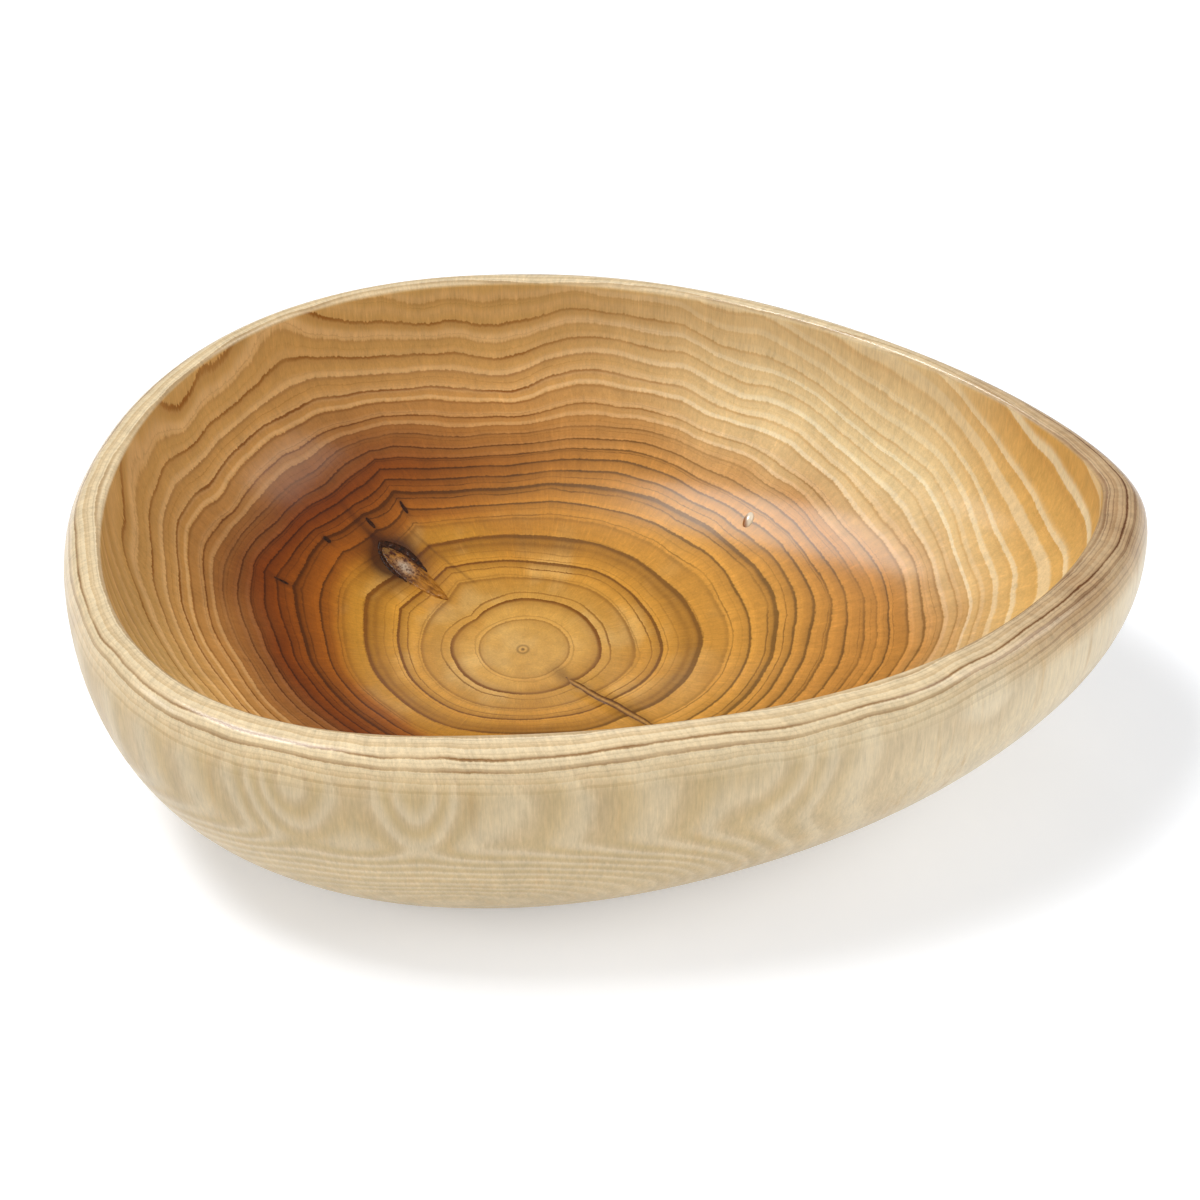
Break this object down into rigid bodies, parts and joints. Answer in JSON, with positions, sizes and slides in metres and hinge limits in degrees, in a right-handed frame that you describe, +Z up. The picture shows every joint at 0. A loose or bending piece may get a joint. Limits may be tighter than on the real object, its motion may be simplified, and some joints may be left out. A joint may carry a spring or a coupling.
{
  "type": "wooden fruit bowl",
  "caption": "Teardrop fruit bowl carved from one cross-cut slice of softwood trunk, with a broad rolled rim, a round hollow, a flat foot and the tree's knots and filled check left in its floor.",
  "frame": {"origin": "on the table, under the middle of the outline's box", "axes": "+X towards the narrow tip, +Y towards the back, +Z up"},
  "size_m": [0.28, 0.201, 0.076],
  "materials": {
    "lacquered_wood": "clear lacquer over bare softwood with dark growth rings",
    "dead_wood": "grey-brown dead branch wood under lacquer",
    "bark": "black-brown bark under lacquer",
    "filler": "wood dust set in resin, sanded and lacquered",
    "lacquer": "clear glossy lacquer"
  },
  "bodies": {
    "root": {"bowl_body": "lacquered_wood", "dead_knot": "dead_wood", "knot_bark": "bark", "crack_fill": "filler", "pin_knot_1": "bark", "pin_knot_2": "bark", "pin_knot_3": "bark", "pin_knot_4": "bark", "lacquer_bead": "lacquer"}
  },
  "joints": []
}
